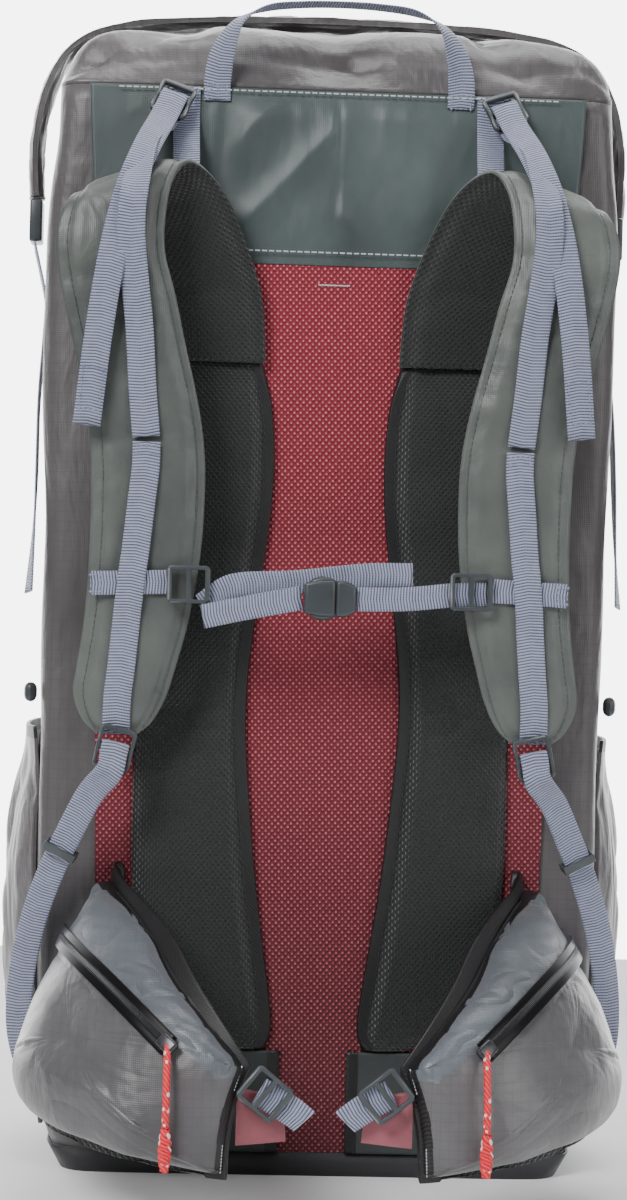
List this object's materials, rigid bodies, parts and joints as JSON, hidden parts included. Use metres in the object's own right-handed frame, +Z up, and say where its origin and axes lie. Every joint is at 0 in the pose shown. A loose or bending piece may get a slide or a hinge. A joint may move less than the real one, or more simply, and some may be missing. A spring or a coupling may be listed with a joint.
{
  "type": "hiking backpack",
  "caption": "Framed hiking backpack with padded back, shoulder straps, hip belt with zipped pockets, side pockets and a rolled, clipped top.",
  "frame": {"origin": "middle of the base's underside, on the floor the pack stands on", "axes": "+Z up along the back, harness side faces -Y, +X is to the right when the harness is seen"},
  "size_m": [0.3932, 0.4192, 0.7194],
  "materials": {
    "ripstop": "thin coated ripstop cloth, slightly shiny",
    "green_grey": "smooth woven nylon, matt",
    "black_mesh": "air mesh over foam, matt",
    "red_mesh": "spacer mesh with pale dots, matt",
    "webbing": "ribbed webbing, matt",
    "black_cloth": "heavier woven cloth, matt",
    "zip": "coated zip tape, glossy",
    "red_cord": "braided cord, matt",
    "buckle": "moulded acetal, satin"
  },
  "bodies": {
    "root": {"bag_shell": "ripstop", "base_panel": "black_cloth", "top_collar": "ripstop", "roll_top_lip": "ripstop", "upper_back_panel": "green_grey", "back_mesh_panel": "red_mesh", "haul_loop": "webbing", "sternum_strap_left": "webbing", "sternum_strap_right": "webbing", "sternum_buckle_socket": "buckle", "sternum_buckle_plug": "buckle", "back_pad_left": "black_mesh", "back_pad_right": "black_mesh", "lumbar_panel_left": "green_grey", "lumbar_panel_right": "green_grey", "shoulder_strap_left": "green_grey", "shoulder_strap_right": "green_grey", "strap_hanger_left": "webbing", "strap_hanger_right": "webbing", "load_lifter_buckle_left": "buckle", "load_lifter_buckle_right": "buckle", "load_lifter_left": "webbing", "load_lifter_right": "webbing", "strap_webbing_left": "webbing", "strap_webbing_right": "webbing", "adjuster_buckle_left": "buckle", "adjuster_buckle_right": "buckle", "lower_strap_left": "webbing", "lower_strap_right": "webbing", "strap_keeper_left": "buckle", "strap_keeper_right": "buckle", "sternum_anchor_left": "webbing", "sternum_anchor_right": "webbing", "sternum_slider_left": "buckle", "sternum_slider_right": "buckle", "hip_belt_left": "black_mesh", "hip_belt_right": "black_mesh", "hip_pocket_left": "ripstop", "hip_pocket_right": "ripstop", "hip_zip_left": "zip", "hip_zip_right": "zip", "zip_pull_left": "red_cord", "zip_pull_right": "red_cord", "zip_pull_knot_left": "red_cord", "zip_pull_knot_right": "red_cord", "belt_webbing_left": "webbing", "belt_webbing_right": "webbing", "belt_buckle_left": "buckle", "belt_buckle_right": "buckle", "side_pocket_left": "ripstop", "side_pocket_right": "ripstop", "side_strap_left": "webbing", "side_strap_right": "webbing", "side_buckle_left": "buckle", "side_buckle_right": "buckle", "cord_cleat_left": "buckle", "cord_cleat_right": "buckle"}
  },
  "joints": []
}
